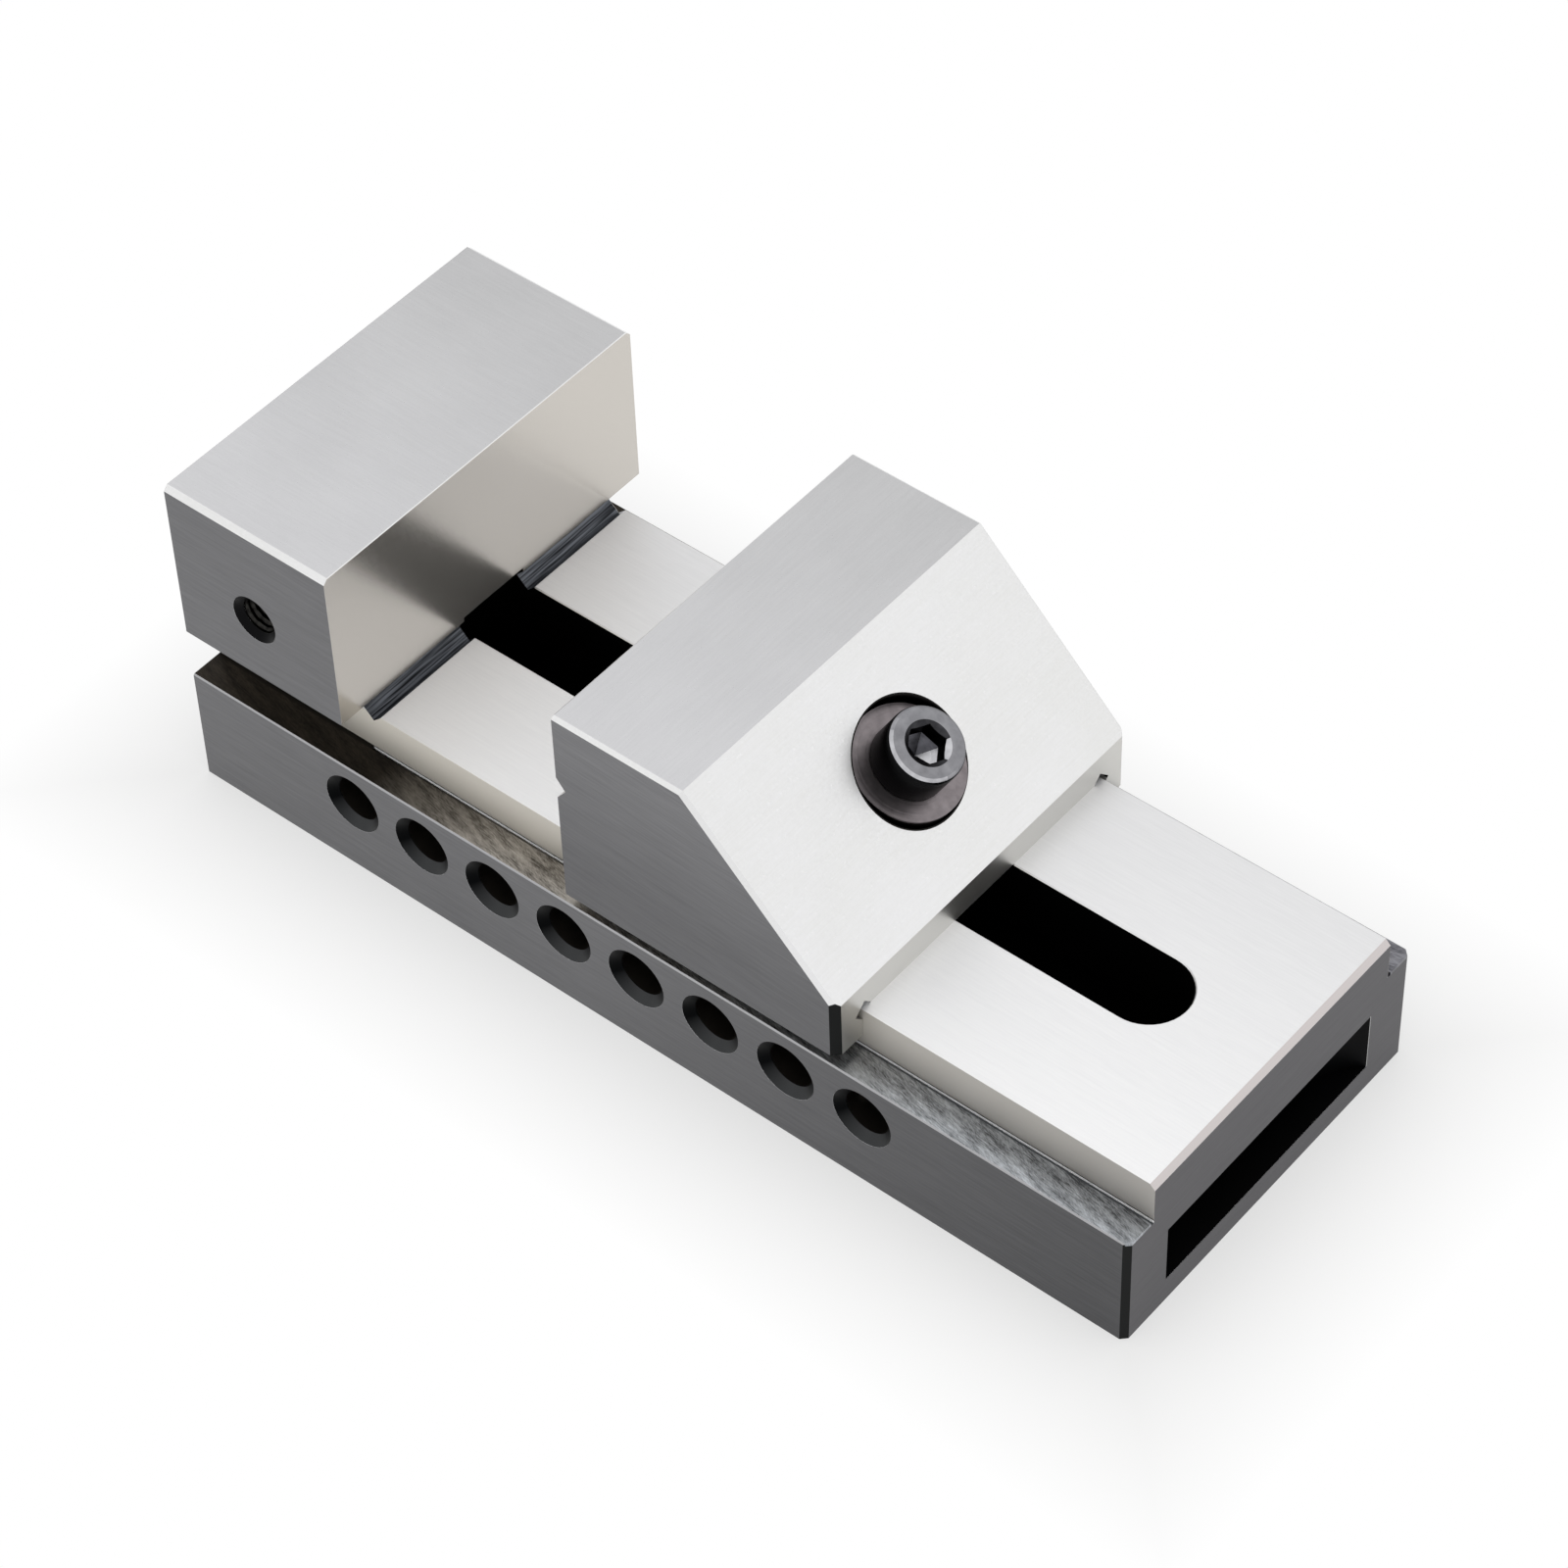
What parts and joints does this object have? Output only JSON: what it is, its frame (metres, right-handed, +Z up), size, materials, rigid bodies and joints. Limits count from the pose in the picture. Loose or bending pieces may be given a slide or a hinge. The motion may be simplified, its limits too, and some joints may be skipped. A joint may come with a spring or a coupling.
{
  "type": "precision grinding vise",
  "caption": "Low toolmaker's vise: slotted base with one fixed jaw, a sliding jaw with a slanted face, and a swivelling socket screw that pulls it down onto the rail.",
  "frame": {"origin": "middle of the base's underside", "axes": "+X from the fixed jaw to the open end of the base, +Z up, +Y across the jaws"},
  "size_m": [0.1906, 0.073, 0.0659],
  "materials": {
    "body_steel": "fine ground, slightly brushed hardened tool steel",
    "jaw_steel": "fine ground, slightly brushed hardened tool steel",
    "black_steel": "black oxide alloy steel, satin",
    "washer_steel": "dark oxide turned steel, satin",
    "nut_steel": "dark oxide turned steel, satin"
  },
  "bodies": {
    "body": {"body": "body_steel"},
    "movable_jaw": {"movable_jaw": "jaw_steel"},
    "washer": {"spherical_washer": "washer_steel"},
    "screw": {"clamp_screw": "black_steel"},
    "nut": {"cross_nut": "nut_steel"}
  },
  "joints": [
    {"name": "jaw_slide", "type": "slide", "parent": "body", "child": "movable_jaw", "axis": [1, 0, 0], "range_m": [-0.0467, 0.0533]},
    {"name": "screw_tilt", "type": "hinge", "parent": "movable_jaw", "child": "washer", "pos_m": [0.02554, 0, 0.05119], "axis": [0, 1, 0], "range_deg": [0, 8]},
    {"name": "screw_spin", "type": "hinge", "parent": "washer", "child": "screw", "pos_m": [0.02554, 0, 0.05119], "axis": [-0.5, 0, -0.866], "range_deg": [0, 720]},
    {"name": "nut_travel", "type": "slide", "parent": "washer", "child": "nut", "axis": [0.5, 0, 0.866], "range_m": [0, 0.0025]}
  ],
  "couplings": [
    {"joint": "screw_spin", "follows": "nut_travel", "rad_per_m": 5026.5}
  ]
}
